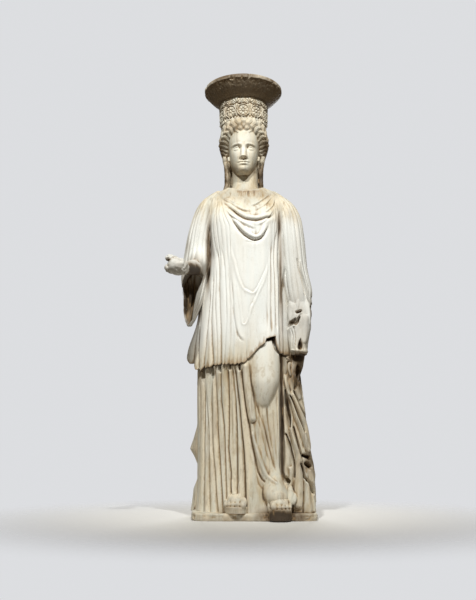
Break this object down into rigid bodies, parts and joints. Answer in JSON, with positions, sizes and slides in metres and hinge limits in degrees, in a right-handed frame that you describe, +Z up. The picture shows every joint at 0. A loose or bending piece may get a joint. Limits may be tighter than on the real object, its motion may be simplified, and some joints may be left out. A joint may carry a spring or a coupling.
{
  "type": "caryatid statue",
  "caption": "Marble standing woman in pleated robes with one arm held forward, a tall carved crown and a round capital on her head, on a thin plinth.",
  "frame": {"origin": "on the flat underside of the plinth, below the middle of the drapery", "axes": "+Z up through the figure, -Y the way the figure faces, +X to the right of a viewer who faces the figure"},
  "size_m": [0.6334, 0.581, 1.935],
  "materials": {
    "marble": "aged carved marble, matt, warm white with a yellow-brown patina that is darker in the folds"
  },
  "bodies": {
    "root": {"caryatid": "marble"}
  },
  "joints": []
}
